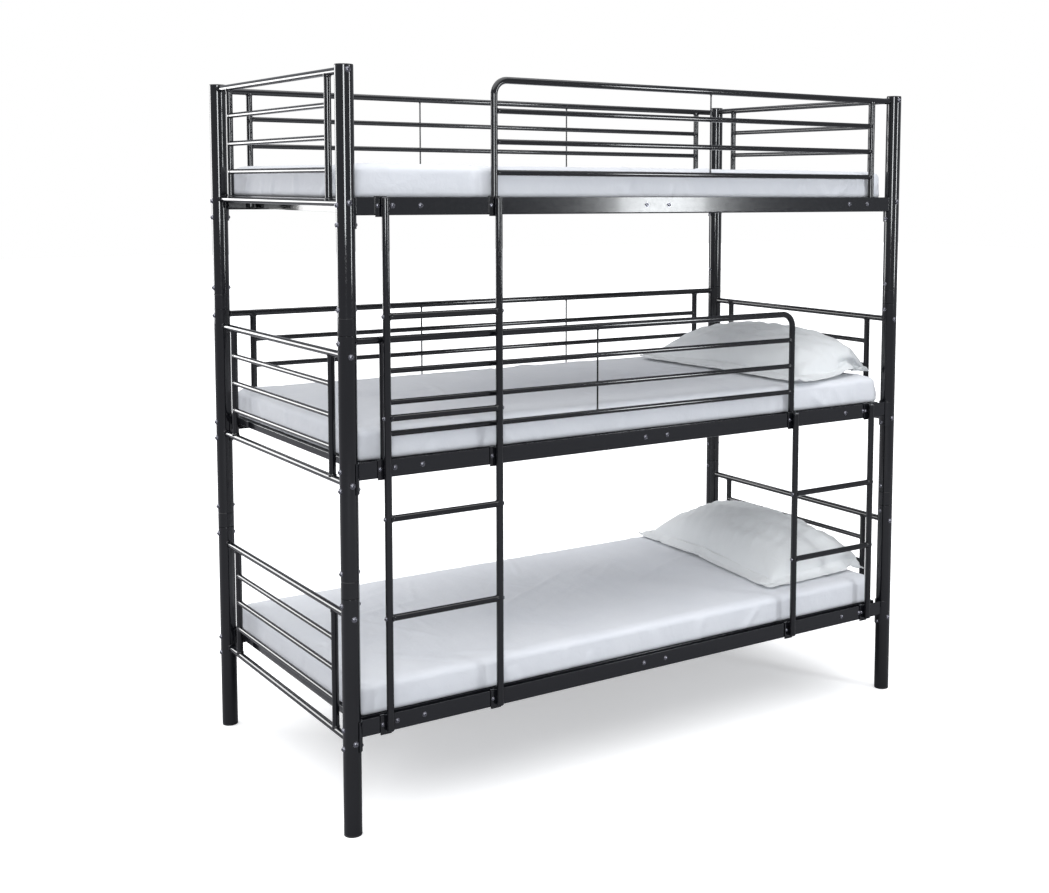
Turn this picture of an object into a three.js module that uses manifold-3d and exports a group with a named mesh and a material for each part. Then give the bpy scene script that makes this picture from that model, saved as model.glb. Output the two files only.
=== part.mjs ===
// Triple bunk bed of painted steel tube: three tiers, two hook-on ladders, guard rails,
// mattresses and pillows. Millimetres, +Z up, X along the bed, the ladders on the -Y side.
// The origin is on the floor, under the middle of the bed.
import * as THREE from 'three';
import { mergeVertices } from 'three/addons/utils/BufferGeometryUtils.js';
import Module from 'manifold-3d';

const wasm = await Module();
wasm.setup();

// ---- driving dimensions ----
const POST_SPACING_X = 1950;      // post axis to post axis along the bed
const POST_SPACING_Y = 940;       // post axis to post axis across the bed
const FIT = 0.3;                  // air between pieces that touch
const POST_RADIUS = 24;
const POST_WALL = 1.5;
const POST_SECTION = 639;         // length of one tier's stretch of post, foot included
const TOP_PLATE = 3;              // closes the highest tubes
const COLLAR_HEIGHT = 46;         // visible ring between two post tubes
const SPIGOT_REACH = 60;          // how far a collar's spigot enters each tube
const SPIGOT_WALL = 1.5;
const FOOT_THICKNESS = 5;
const FOOT_PLUG = 20;

const RAIL_TOP = 308;             // top edge of a side rail over the start of its tier
const RAIL_HEIGHT = 47;
const RAIL_STEEL = 2;             // sheet thickness of the angle section
const RAIL_OUTBOARD = 12;         // outer face of the rail beyond the post axis
const RAIL_LEDGE = 32;            // width of the flange that carries the mattress base
const SADDLE_THICKNESS = 3;       // curved end plate that hugs the post
const SADDLE_DROP = 34;           // end plate below the rail's lower edge
const SADDLE_START = 10;          // end plate's edge, inward from the post axis

const END_BOTTOM = [252, 252, 293];   // lowest tube of the end frame over each tier's start
const END_HEIGHT = 334;           // lowest to highest tube axis
const END_RAIL_RADIUS = 9.5;
const END_BAR_RADIUS = 7.5;
const END_INSET = 104;            // upright tube from the post axis
const END_BARS = 3;

const GUARD_HEIGHT = 315;         // top tube axis over the side rail's top edge
const GUARD_PITCH = 83;           // tube to tube
const GUARD_BARS = 3;
const GUARD_TUBE_RADIUS = 9.5;
const GUARD_BAR_RADIUS = 7.5;
const GUARD_WIRE_RADIUS = 2.5;
const GUARD_BEND = 40;            // radius of the bent corner
const GUARD_SINK = 42;            // uprights reach this far below the rail's top edge
const GUARD_INSET = 99;           // upright near a post, from the post's axis
const ENTRY_WIDTH = 334;          // from there to the upright on the entry's other side
const GUARD_WIRE_STEP = 745;      // front guard: wire from its entry upright
const BACK_WIRE = 290;            // back guard: wires from the bed's middle

const BASE_DROP = 4;              // base's upper face below the rail's top edge
const BASE_BAR = 20;              // square tube of the base frame
const BASE_END_GAP = 1;           // base's end from the posts
const BASE_SIDE_GAP = 1.5;        // base's side from the guard rails' uprights
const BEARER_INSET = 140;         // outer bearers' middle from the base's end
const BEARER_WIDTH = 100;
const BEARER_BITE = 3;            // bearers reach this far into the frame's bars
const CROSS_BARS = 9;

const MATTRESS_MARGIN = 2;        // mattress inside the base's edge
const MATTRESS_HEIGHT = 88;
const MATTRESS_CORNER = 40;
const LAY = 0.5;                  // air under what lies loose

const PILLOW_HALF_X = 200;
const PILLOW_HALF_Y = 375;
const PILLOW_BELLY = 12;          // a pillow's widest line over the mattress
const PILLOWS = [                 // crown over the widest line, middle from the posts, turn in degrees
  { tier: 0, rise: 145, fromPosts: 237, y: 10, turn: -8 },
  { tier: 1, rise: 125, fromPosts: 230, y: -20, turn: 4 },
];

const STILE_RADIUS = 10;
const STILE_LOWER_END = 5;        // stile's lower end over the lowest rail's lower edge
const HOOK_STEEL = 3;
const HOOK_REACH = 24;            // hook plate from the stile's axis, on its -X side
const HOOK_OVERLAP = 8;           // hook plate behind the stile, on its +X side
const HOOK_NECK = 11.5;           // inner leg stays this far from the stile's axis
const HOOK_LEG = 20;              // inner leg behind the rail
const HOOK_SKIRT = 4;             // hook plate below the rail's lower edge
const RUNG_RADIUS = 9;
const TALL_RUNGS = { lowest: 264, pitch: 266, count: 4 };   // over the lowest rail's top edge
const SHORT_RUNGS = { lowest: 210, pitch: 213.5, count: 2 };

const POST_SIDES = 12;
const TUBE_SIDES = 8;
const BAR_SIDES = 6;
const WIRE_SIDES = 4;
const BEND_STEPS = 4;

// ---- worked out from the driving dimensions ----
const TIERS = ['bottom', 'middle', 'top'];
const TIER_PITCH = POST_SECTION + COLLAR_HEIGHT;
const POST_X = POST_SPACING_X / 2;
const POST_Y = POST_SPACING_Y / 2;
const tierStart = (tier) => tier * TIER_PITCH;
const railTop = (tier) => tierStart(tier) + RAIL_TOP;
const baseTop = (tier) => railTop(tier) - BASE_DROP;
const mattressTop = (tier) => baseTop(tier) + LAY + MATTRESS_HEIGHT;
const RAIL_FACE = POST_Y + RAIL_OUTBOARD;
const RAIL_BACK = RAIL_FACE - RAIL_STEEL;
const FAR_UPRIGHT = POST_X - GUARD_INSET;
const NEAR_UPRIGHT = FAR_UPRIGHT - ENTRY_WIDTH;
const BASE_X = POST_X - POST_RADIUS - BASE_END_GAP;
const BASE_Y = POST_Y - GUARD_TUBE_RADIUS - BASE_SIDE_GAP;

// ---- colours ----
const BLACK_PAINT = { color: 0x1b1c20, roughness: 0.22, metalness: 0.4 };
const BLACK_PLASTIC = { color: 0x17181a, roughness: 0.5, metalness: 0 };
const BASE_PAINT = { color: 0x26272b, roughness: 0.45, metalness: 0.3 };
const WHITE_SHEET = { color: 0xe9ebf0, roughness: 0.9, metalness: 0 };
const WHITE_PILLOW = { color: 0xf0f0ef, roughness: 0.9, metalness: 0 };

const bed = new THREE.Group();
const assembly = new THREE.Group();
bed.add(assembly);

// ---- solids ----
function solid(geometry) {
  const bare = geometry.clone();
  for (const name of Object.keys(bare.attributes)) {
    if (name !== 'position') bare.deleteAttribute(name);
  }
  const merged = mergeVertices(bare, 1e-4);
  return new wasm.Manifold(new wasm.Mesh({
    numProp: 3,
    vertProperties: Float32Array.from(merged.attributes.position.array),
    triVerts: Uint32Array.from(merged.index.array),
  }));
}

function join(pieces) {
  return pieces.reduce((whole, piece) => whole.add(piece));
}

function add(name, shape, finish) {
  const mesh = shape.getMesh();
  const geometry = new THREE.BufferGeometry();
  geometry.setAttribute('position', new THREE.BufferAttribute(Float32Array.from(mesh.vertProperties), 3));
  geometry.setIndex(new THREE.BufferAttribute(Uint32Array.from(mesh.triVerts), 1));
  geometry.computeVertexNormals();
  const piece = new THREE.Mesh(geometry, new THREE.MeshStandardMaterial(finish));
  piece.name = name;
  assembly.add(piece);
}

// A box between two corners.
function block(low, high) {
  const geometry = new THREE.BoxGeometry(high[0] - low[0], high[1] - low[1], high[2] - low[2]);
  geometry.translate((low[0] + high[0]) / 2, (low[1] + high[1]) / 2, (low[2] + high[2]) / 2);
  return solid(geometry);
}

// A round bar between two points.
function rod(from, to, radius, sides) {
  const start = new THREE.Vector3(...from);
  const end = new THREE.Vector3(...to);
  const along = end.clone().sub(start);
  const geometry = new THREE.CylinderGeometry(radius, radius, along.length(), sides);
  const direction = along.clone().normalize();
  const turn = new THREE.Quaternion().setFromUnitVectors(new THREE.Vector3(0, 1, 0), direction);
  geometry.applyQuaternion(turn);
  const middle = start.add(end).multiplyScalar(0.5);
  geometry.translate(middle.x, middle.y, middle.z);
  return solid(geometry);
}

// An upright cylinder with a corner of its section on each of the X and Y axes.
function column(x, y, low, high, radius, sides = POST_SIDES) {
  const geometry = new THREE.CylinderGeometry(radius, radius, high - low, sides);
  geometry.rotateX(Math.PI / 2);
  geometry.translate(x, y, (low + high) / 2);
  return solid(geometry);
}

// A path that goes straight up, round a quarter bend and on level, towards +X or -X. Its
// parameter counts the listed stations, so that only the bend is finely stepped.
class BentPath extends THREE.Curve {
  constructor(foot, corner, end, bendRadius) {
    super();
    const towards = Math.sign(end[0] - corner[0]);
    const [x, y, z] = corner;
    this.stations = [{ point: foot, angle: 0 }];
    for (let step = 0; step <= BEND_STEPS; step += 1) {
      const angle = Math.PI / 2 * step / BEND_STEPS;
      const across = x + towards * bendRadius * (1 - Math.cos(angle));
      const up = z - bendRadius * (1 - Math.sin(angle));
      this.stations.push({ point: [across, y, up], angle });
    }
    this.stations.push({ point: end, angle: Math.PI / 2 });
    this.towards = towards;
  }
  station(t) {
    return this.stations[Math.round(t * (this.stations.length - 1))];
  }
  getPoint(t, target = new THREE.Vector3()) {
    return target.set(...this.station(t).point);
  }
  getTangent(t, target = new THREE.Vector3()) {
    const { angle } = this.station(t);
    return target.set(this.towards * Math.sin(angle), 0, Math.cos(angle));
  }
  getUtoTmapping(u) {
    return u;
  }
}

function bentTube(foot, corner, end, bendRadius, tubeRadius) {
  const section = new THREE.Shape(Array.from({ length: TUBE_SIDES }, (_, i) => {
    const angle = 2 * Math.PI * i / TUBE_SIDES;
    return new THREE.Vector2(tubeRadius * Math.cos(angle), tubeRadius * Math.sin(angle));
  }));
  const path = new BentPath(foot, corner, end, bendRadius);
  const steps = path.stations.length - 1;
  return solid(new THREE.ExtrudeGeometry(section, { steps, extrudePath: path, bevelEnabled: false }));
}

// ---- posts: three tubes, two collars with spigots, a foot ----
const CORNERS = [
  { name: 'front_left', x: -POST_X, y: -POST_Y },
  { name: 'front_right', x: POST_X, y: -POST_Y },
  { name: 'back_left', x: -POST_X, y: POST_Y },
  { name: 'back_right', x: POST_X, y: POST_Y },
];
const POST_BORE = POST_RADIUS - POST_WALL;
const SPIGOT_RADIUS = POST_BORE - FIT;

function postTube(corner, tier) {
  const low = tier === 0 ? FOOT_THICKNESS + FIT : tierStart(tier);
  const high = tierStart(tier) + POST_SECTION;
  const closed = tier === TIERS.length - 1;
  const boreTop = closed ? high - TOP_PLATE : high + 1;
  return column(corner.x, corner.y, low, high, POST_RADIUS)
    .subtract(column(corner.x, corner.y, low - 1, boreTop, POST_BORE));
}

function collar(corner, joint) {
  const low = tierStart(joint) + POST_SECTION;
  const high = low + COLLAR_HEIGHT;
  const spigotLow = low - SPIGOT_REACH;
  const spigotHigh = high + SPIGOT_REACH;
  return column(corner.x, corner.y, low + FIT, high - FIT, POST_RADIUS)
    .add(column(corner.x, corner.y, spigotLow, spigotHigh, SPIGOT_RADIUS))
    .subtract(column(corner.x, corner.y, spigotLow - 1, spigotHigh + 1, SPIGOT_RADIUS - SPIGOT_WALL));
}

function foot(corner) {
  return column(corner.x, corner.y, 0, FOOT_THICKNESS, POST_RADIUS)
    .add(column(corner.x, corner.y, FOOT_THICKNESS / 2, FOOT_THICKNESS + FOOT_PLUG, SPIGOT_RADIUS));
}

for (const corner of CORNERS) {
  add(`foot_${corner.name}`, foot(corner), BLACK_PLASTIC);
  TIERS.forEach((tierName, tier) => {
    add(`post_${corner.name}_${tierName}`, postTube(corner, tier), BLACK_PAINT);
  });
  add(`collar_${corner.name}_lower`, collar(corner, 0), BLACK_PAINT);
  add(`collar_${corner.name}_upper`, collar(corner, 1), BLACK_PAINT);
}

// ---- side rails: an angle section with a curved plate at each end ----
// side is -1 at the front and +1 at the back.
function sideRail(side, tier) {
  const top = railTop(tier);
  const low = top - RAIL_HEIGHT;
  const across = (inner, outer) => (side < 0 ? [-outer, -inner] : [inner, outer]);
  const [faceLow, faceHigh] = across(RAIL_BACK, RAIL_FACE);
  const [ledgeLow, ledgeHigh] = across(RAIL_FACE - RAIL_LEDGE, RAIL_FACE);
  const reach = POST_X - POST_RADIUS / 2;
  let rail = block([-reach, faceLow, low], [reach, faceHigh, top])
    .add(block([-reach, ledgeLow, low], [reach, ledgeHigh, low + RAIL_STEEL]));
  for (const end of [-1, 1]) {
    const x = end * POST_X;
    const y = side * POST_Y;
    const outer = POST_RADIUS + FIT + SADDLE_THICKNESS;
    const xs = [x - end * SADDLE_START, x - end * (outer + 1)].sort((a, b) => a - b);
    const plate = column(x, y, low - SADDLE_DROP, top, outer)
      .intersect(block([xs[0], y - outer, low - SADDLE_DROP], [xs[1], y + outer, top]));
    rail = rail.add(plate).subtract(column(x, y, low - SADDLE_DROP - 1, top + 1, POST_RADIUS + FIT));
  }
  return rail;
}

// ---- end frames: two rails from post to post, two uprights, bars between them ----
function endFrame(end, tier) {
  const x = end * POST_X;
  const low = tierStart(tier) + END_BOTTOM[tier];
  const high = low + END_HEIGHT;
  const reach = POST_Y - POST_RADIUS - FIT;
  const upright = POST_Y - END_INSET;
  const pieces = [low, high].map((z) => rod([x, -reach, z], [x, reach, z], END_RAIL_RADIUS, TUBE_SIDES));
  for (const y of [-upright, upright]) {
    pieces.push(rod([x, y, low], [x, y, high], END_RAIL_RADIUS, TUBE_SIDES));
  }
  for (let bar = 1; bar <= END_BARS; bar += 1) {
    const z = low + END_HEIGHT * bar / (END_BARS + 1);
    pieces.push(rod([x, -upright, z], [x, upright, z], END_BAR_RADIUS, BAR_SIDES));
  }
  return join(pieces);
}

// ---- guard rails ----
// The bars, wires and uprights between x = from and x = to, under a top tube.
function guardFilling(y, top, from, to, wires) {
  const lowest = top - GUARD_PITCH * GUARD_BARS;
  const pieces = [];
  for (let bar = 1; bar <= GUARD_BARS; bar += 1) {
    const z = top - GUARD_PITCH * bar;
    pieces.push(rod([from, y, z], [to, y, z], GUARD_BAR_RADIUS, BAR_SIDES));
  }
  for (const x of wires) {
    pieces.push(rod([x, y, lowest], [x, y, top], GUARD_WIRE_RADIUS, WIRE_SIDES));
  }
  return pieces;
}

function guardUpright(x, y, tier, top) {
  return rod([x, y, railTop(tier) - GUARD_SINK], [x, y, top], GUARD_TUBE_RADIUS, TUBE_SIDES);
}

// A front guard runs from the post on side "end" and bends down beside the entry.
function frontGuard(end, tier) {
  const y = -POST_Y;
  const top = railTop(tier) + GUARD_HEIGHT;
  const post = end * (POST_X - POST_RADIUS - FIT);
  const far = end * FAR_UPRIGHT;
  const entry = -end * NEAR_UPRIGHT;
  const low = railTop(tier) - GUARD_SINK;
  const pieces = [
    bentTube([entry, y, low], [entry, y, top], [post, y, top], GUARD_BEND, GUARD_TUBE_RADIUS),
    guardUpright(far, y, tier, top),
    ...guardFilling(y, top, entry, far, [entry + end * GUARD_WIRE_STEP]),
  ];
  return join(pieces);
}

function backGuard(tier) {
  const y = POST_Y;
  const top = railTop(tier) + GUARD_HEIGHT;
  const post = POST_X - POST_RADIUS - FIT;
  const pieces = [
    rod([-post, y, top], [post, y, top], GUARD_TUBE_RADIUS, TUBE_SIDES),
    guardUpright(-FAR_UPRIGHT, y, tier, top),
    guardUpright(FAR_UPRIGHT, y, tier, top),
    ...guardFilling(y, top, -FAR_UPRIGHT, FAR_UPRIGHT, [-BACK_WIRE, BACK_WIRE]),
  ];
  return join(pieces);
}

// ---- mattress base: a frame with cross bars, on three wide bearers ----
function mattressBase(tier) {
  const top = baseTop(tier);
  const under = top - BASE_BAR;
  const pitch = (2 * BASE_X - BASE_BAR) / (CROSS_BARS + 1);
  let base = block([-BASE_X, -BASE_Y, under], [BASE_X, BASE_Y, top]);
  for (let gap = 0; gap <= CROSS_BARS; gap += 1) {
    const start = -BASE_X + BASE_BAR + pitch * gap;
    const end = start + pitch - BASE_BAR;
    const inner = BASE_Y - BASE_BAR;
    base = base.subtract(block([start, -inner, under - 1], [end, inner, top + 1]));
  }
  const ledge = railTop(tier) - RAIL_HEIGHT + RAIL_STEEL + FIT;
  const reach = RAIL_BACK - FIT;
  for (const x of [BEARER_INSET - BASE_X, 0, BASE_X - BEARER_INSET]) {
    base = base.add(block(
      [x - BEARER_WIDTH / 2, -reach, ledge],
      [x + BEARER_WIDTH / 2, reach, under + BEARER_BITE],
    ));
  }
  return base;
}

for (const [sideName, side] of [['front', -1], ['back', 1]]) {
  TIERS.forEach((tierName, tier) => {
    add(`side_rail_${sideName}_${tierName}`, sideRail(side, tier), BLACK_PAINT);
  });
}
for (const [endName, end] of [['left', -1], ['right', 1]]) {
  TIERS.forEach((tierName, tier) => {
    add(`end_frame_${endName}_${tierName}`, endFrame(end, tier), BLACK_PAINT);
  });
}
add('guard_rail_front_middle', frontGuard(-1, 1), BLACK_PAINT);
add('guard_rail_front_top', frontGuard(1, 2), BLACK_PAINT);
add('guard_rail_back_middle', backGuard(1), BLACK_PAINT);
add('guard_rail_back_top', backGuard(2), BLACK_PAINT);
TIERS.forEach((tierName, tier) => {
  add(`mattress_base_${tierName}`, mattressBase(tier), BASE_PAINT);
});

// ---- mattresses and pillows ----
function mattress(tier) {
  const x = BASE_X - MATTRESS_MARGIN;
  const y = BASE_Y - MATTRESS_MARGIN;
  const r = MATTRESS_CORNER;
  const outline = new THREE.Shape();
  outline.moveTo(-x + r, -y);
  outline.lineTo(x - r, -y);
  outline.absarc(x - r, -y + r, r, -Math.PI / 2, 0);
  outline.lineTo(x, y - r);
  outline.absarc(x - r, y - r, r, 0, Math.PI / 2);
  outline.lineTo(-x + r, y);
  outline.absarc(-x + r, y - r, r, Math.PI / 2, Math.PI);
  outline.lineTo(-x, -y + r);
  outline.absarc(-x + r, -y + r, r, Math.PI, 3 * Math.PI / 2);
  const extrusion = { depth: MATTRESS_HEIGHT, bevelEnabled: false, curveSegments: 4 };
  const body = new THREE.ExtrudeGeometry(outline, extrusion);
  body.translate(0, 0, baseTop(tier) + LAY);
  return solid(body);
}

// A sphere squared off in plan, with a high crown and a shallow belly.
function pillow({ tier, rise, fromPosts, y, turn }) {
  const geometry = new THREE.SphereGeometry(1, 20, 8);
  geometry.rotateX(Math.PI / 2);
  const points = geometry.attributes.position;
  const lowest = mattressTop(tier) + LAY;
  for (let i = 0; i < points.count; i += 1) {
    const px = points.getX(i);
    const py = points.getY(i);
    const pz = points.getZ(i);
    const around = Math.hypot(px, py) || 1;
    const squared = ((px / around) ** 4 + (py / around) ** 4) ** -0.25;
    points.setXYZ(i, PILLOW_HALF_X * px * squared, PILLOW_HALF_Y * py * squared,
      PILLOW_BELLY + pz * (pz > 0 ? rise : PILLOW_BELLY));
  }
  geometry.rotateZ(THREE.MathUtils.degToRad(turn));
  geometry.translate(POST_X - fromPosts, y, lowest);
  return solid(geometry);
}

TIERS.forEach((tierName, tier) => {
  add(`mattress_${tierName}`, mattress(tier), WHITE_SHEET);
});
for (const place of PILLOWS) {
  add(`pillow_${TIERS[place.tier]}`, pillow(place), WHITE_PILLOW);
}

// ---- ladders: two stiles with hook plates, rungs between them ----
const STILE_Y = -(RAIL_FACE + FIT + HOOK_STEEL + STILE_RADIUS - 1);

// A hook plate on a stile: over the rail's face, its top edge and its back.
function hook(x, tier) {
  const top = railTop(tier);
  const outer = -(RAIL_FACE + FIT + HOOK_STEEL);
  const inner = -(RAIL_BACK - FIT - HOOK_STEEL);
  const high = top + FIT + HOOK_STEEL;
  const plate = block([x - HOOK_REACH, outer, top - RAIL_HEIGHT - HOOK_SKIRT],
    [x + HOOK_OVERLAP, outer + HOOK_STEEL, high]);
  const cap = block([x - HOOK_REACH, outer, top + FIT], [x - HOOK_NECK, inner, high]);
  const leg = block([x - HOOK_REACH, inner - HOOK_STEEL, top - HOOK_LEG], [x - HOOK_NECK, inner, high]);
  return join([plate, cap, leg]);
}

function stile(x, topTier) {
  const low = railTop(0) - RAIL_HEIGHT + STILE_LOWER_END;
  const high = railTop(topTier);
  const hooks = TIERS.slice(0, topTier + 1).map((_, tier) => hook(x, tier));
  return join([rod([x, STILE_Y, low], [x, STILE_Y, high], STILE_RADIUS, TUBE_SIDES), ...hooks]);
}

function ladder(name, left, right, topTier, rungs) {
  add(`${name}_stile_left`, stile(left, topTier), BLACK_PAINT);
  add(`${name}_stile_right`, stile(right, topTier), BLACK_PAINT);
  const inset = STILE_RADIUS + FIT;
  for (let rung = 0; rung < rungs.count; rung += 1) {
    const z = railTop(0) + rungs.lowest + rungs.pitch * rung;
    const bar = rod([left + inset, STILE_Y, z], [right - inset, STILE_Y, z], RUNG_RADIUS, TUBE_SIDES);
    add(`${name}_rung_${rung + 1}`, bar, BLACK_PAINT);
  }
}

ladder('ladder_tall', -FAR_UPRIGHT, -NEAR_UPRIGHT, 2, TALL_RUNGS);
ladder('ladder_short', NEAR_UPRIGHT, FAR_UPRIGHT, 1, SHORT_RUNGS);

// The ladders stand out at the front, so the origin is brought back under the middle of the whole bed.
assembly.position.y = -new THREE.Box3().setFromObject(assembly).getCenter(new THREE.Vector3()).y;

export default bed;
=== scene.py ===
# %% [markdown]
# # A triple bunk bed of black steel tube
#
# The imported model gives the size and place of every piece. This file makes the fine surfaces
# that are looked at: smooth tube in place of faceted bars, folded rails, bolt heads, sheets and
# pillows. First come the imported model, the view and a few small tools.

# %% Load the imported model
import math

import bpy
import numpy as np
from mathutils import Matrix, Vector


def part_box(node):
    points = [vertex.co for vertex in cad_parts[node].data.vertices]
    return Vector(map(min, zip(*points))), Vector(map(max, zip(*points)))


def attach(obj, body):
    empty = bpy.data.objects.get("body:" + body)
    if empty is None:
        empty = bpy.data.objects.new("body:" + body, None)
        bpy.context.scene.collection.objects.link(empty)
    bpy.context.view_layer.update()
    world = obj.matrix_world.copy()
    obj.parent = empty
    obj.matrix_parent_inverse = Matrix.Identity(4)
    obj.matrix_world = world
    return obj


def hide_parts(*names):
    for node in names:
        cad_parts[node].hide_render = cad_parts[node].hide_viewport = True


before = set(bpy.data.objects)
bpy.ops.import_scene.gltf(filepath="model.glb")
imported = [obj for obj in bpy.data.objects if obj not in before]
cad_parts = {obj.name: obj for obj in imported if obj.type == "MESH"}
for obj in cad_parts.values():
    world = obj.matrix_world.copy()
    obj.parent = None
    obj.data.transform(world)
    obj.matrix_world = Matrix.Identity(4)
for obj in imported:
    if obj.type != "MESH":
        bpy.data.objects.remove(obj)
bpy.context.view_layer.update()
MM = 0.001
scene = bpy.context.scene

# %% [markdown]
# ## The view
#
# The bed is seen from its front left corner, a little above the middle tier, through a longish
# lens. The picture's centre lies below and to the left of where the lens points, as when a wide
# picture is cropped, so the camera has a small shift and stays almost level.

# %% Make the camera
def placed(name, data):
    """A new object in the scene."""
    thing = bpy.data.objects.new(name, data)
    scene.collection.objects.link(thing)
    return thing


def facing(right, above, back, place):
    """The matrix whose columns are an object's X, Y and Z directions and its place."""
    columns = np.eye(4)
    columns[:3] = np.stack([right, above, back, place], axis=1)
    return Matrix(columns.tolist())


EYE = np.array([-2.451, -3.8147, 1.7075])
YAW, PITCH, ROLL = (math.radians(angle) for angle in (35.361, 5.163, 0.332))
LENS_MM = 48.382
SHIFT = (-0.1048, -0.126)

ahead = np.array([math.sin(YAW) * math.cos(PITCH), math.cos(YAW) * math.cos(PITCH), -math.sin(PITCH)])
level = np.array([math.cos(YAW), -math.sin(YAW), 0.0])
upward = np.cross(level, ahead)
right = level * math.cos(ROLL) + upward * math.sin(ROLL)
above = upward * math.cos(ROLL) - level * math.sin(ROLL)

camera = placed("camera", bpy.data.cameras.new("camera"))
camera.matrix_world = facing(right, above, -ahead, EYE)
camera.data.lens = LENS_MM
camera.data.sensor_width = 36
camera.data.shift_x, camera.data.shift_y = SHIFT
bpy.context.scene.camera = camera
print("camera at", EYE.tolist(), "lens", LENS_MM)

# %% [markdown]
# ## Tools for surfaces
#
# Nearly every piece of this bed is a section carried along a line: round tube, square tube,
# folded angle. So the main tool takes an outline and a path, works out every ring of points at
# once as one array, and a second tool skins the rings with quads. A third makes the object.
# Modelling with curve objects would do too, but here each vertex has a formula to learn from.

# %% Rings to skin
def skin(rings, looped=False):
    """Skins n rings of m points. Quad (i, j) joins points j and j + 1 of ring i to the same two
    of ring i + 1. looped joins the last ring to the first; otherwise each end is one flat face."""
    n, m = rings.shape[:2]
    i = np.arange(n if looped else n - 1)[:, None]
    j = np.arange(m)[None, :]
    up, along = (i + 1) % n, (j + 1) % m
    quads = np.stack([i * m + j, i * m + along, up * m + along, up * m + j], axis=-1)
    faces = quads.reshape(-1, 4).tolist()
    if not looped:
        faces += [list(range(m))[::-1], list(range((n - 1) * m, n * m))]
    return rings.reshape(-1, 3), faces


def outward(points, faces):
    """Turns a closed skin right side out. Its volume is the sum over its triangles of
    a . (b x c) / 6, which is below zero when the faces point inwards."""
    fans = np.array([(f[0], f[k], f[k + 1]) for f in faces for k in range(1, len(f) - 1)])
    a, b, c = (points[fans[:, k]] for k in range(3))
    volume = np.einsum("ij,ij->i", a, np.cross(b, c)).sum() / 6
    return faces if volume > 0 else [face[::-1] for face in faces]


# %% A section carried along a path
def around(sides):
    """Even angles round a turn: a = 2 pi k / sides."""
    return 2 * np.pi * np.arange(sides) / sides


def circle(radius, sides=24):
    """Point k is radius * (cos a, sin a), with a from around()."""
    angle = around(sides)
    return radius * np.stack([np.cos(angle), np.sin(angle)], axis=1)


def swept(path, section, side, sizes=None):
    """Carries a closed section of points (u, v) along a path that lies in one plane. side is the
    plane's normal. Ring i is path_i + size_i * (u * side + v * (tangent_i x side))."""
    path, section = np.asarray(path, float), np.asarray(section, float)
    side = np.asarray(side, float) / np.linalg.norm(side)
    steps = np.diff(path, axis=0)
    steps /= np.linalg.norm(steps, axis=1, keepdims=True)
    tangent = np.vstack([steps[:1], steps[:-1] + steps[1:], steps[-1:]])
    tangent /= np.linalg.norm(tangent, axis=1, keepdims=True)
    lift = np.cross(tangent, side)
    sizes = np.ones(len(path)) if sizes is None else np.asarray(sizes, float)
    u, v = section[None, :, :1], section[None, :, 1:]
    rings = path[:, None] + sizes[:, None, None] * (u * side + v * lift[:, None])
    return skin(rings)


print("a straight tube of 24 sides has", len(swept([[0, 0, 0], [1, 0, 0]], circle(1), (0, 1, 0))[1]), "faces")

# %% Spun round an axis
UP = np.array([0.0, 0.0, 1.0])


def spokes(axis, angle):
    """Unit vectors round an axis: spoke k is cos a_k * p + sin a_k * q, with p and q at right
    angles to the axis."""
    p = np.cross(axis, (0.0, 1.0, 0.0) if abs(axis[1]) < 0.9 else (1.0, 0.0, 0.0))
    q = np.cross(axis, p)
    return np.cos(angle)[:, None] * p + np.sin(angle)[:, None] * q


def spun(profile, centre, sides, looped=False):
    """Spins a profile of points (radius, height) round an upright axis: point (j, k) is centre +
    radius_j * spoke_k + height_j * UP. A looped profile makes a tube's wall."""
    profile = np.asarray(profile, float)
    rings = np.asarray(centre) + profile[:, :1, None] * spokes(UP, around(sides)) + profile[:, 1:, None] * UP
    return skin(rings, looped)


print("a cylinder is", len(spun([(1, 0), (1, 1)], [0, 0, 0], 48)[0]), "points of a spun profile")

# %% Skins to an object
def make(name, skins, material, body, stands_for=(), edge=None, smooth=35):
    """Puts closed skins in one mesh at the origin. edge rounds its corners by that radius. On
    hard pieces each normal leans towards its largest face, which keeps highlights straight."""
    points, faces, start = [], [], 0
    for skin_points, skin_faces in skins:
        points.append(skin_points)
        faces += [[start + k for k in face] for face in outward(skin_points, skin_faces)]
        start += len(skin_points)
    mesh = bpy.data.meshes.new(name)
    mesh.from_pydata(np.vstack(points).tolist(), [], faces)
    mesh.shade_smooth()
    mesh.set_sharp_from_angle(angle=math.radians(smooth))
    mesh.materials.append(material)
    thing = placed(name, mesh)
    if edge:
        bevel = thing.modifiers.new("rounded edges", "BEVEL")
        bevel.width, bevel.segments, bevel.limit_method = edge, 2, "ANGLE"
        bevel.angle_limit = math.radians(40)
        bevel.harden_normals = True
    if smooth < 90:
        thing.modifiers.new("straight highlights", "WEIGHTED_NORMAL").keep_sharp = True
    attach(thing, body)
    if stands_for:
        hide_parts(*stands_for)
    return thing


def corners(node):
    """The node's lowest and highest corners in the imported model, as arrays."""
    low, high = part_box(node)
    return np.array(low), np.array(high)


print("a post's length spans", [np.round(corner, 3).tolist() for corner in corners("post_front_left_bottom")])

# %% [markdown]
# ## Paint, bolts and cotton
#
# The tube is mild steel with stoved gloss enamel: black, with a clear wet-looking coat, so what
# the eye sees is thin bright lines of light along each tube. Enamel sprayed on steel is never
# quite flat. It keeps a faint waviness, called orange peel, about 2 mm from crest to crest.

# %% Node and colour tools
def linear(code):
    """An sRGB hex colour as the linear values that the shader takes."""
    parts = [int(code[k:k + 2], 16) / 255 for k in (0, 2, 4)]
    return [c / 12.92 if c <= 0.04045 else ((c + 0.055) / 1.055) ** 2.4 for c in parts] + [1]


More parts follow.
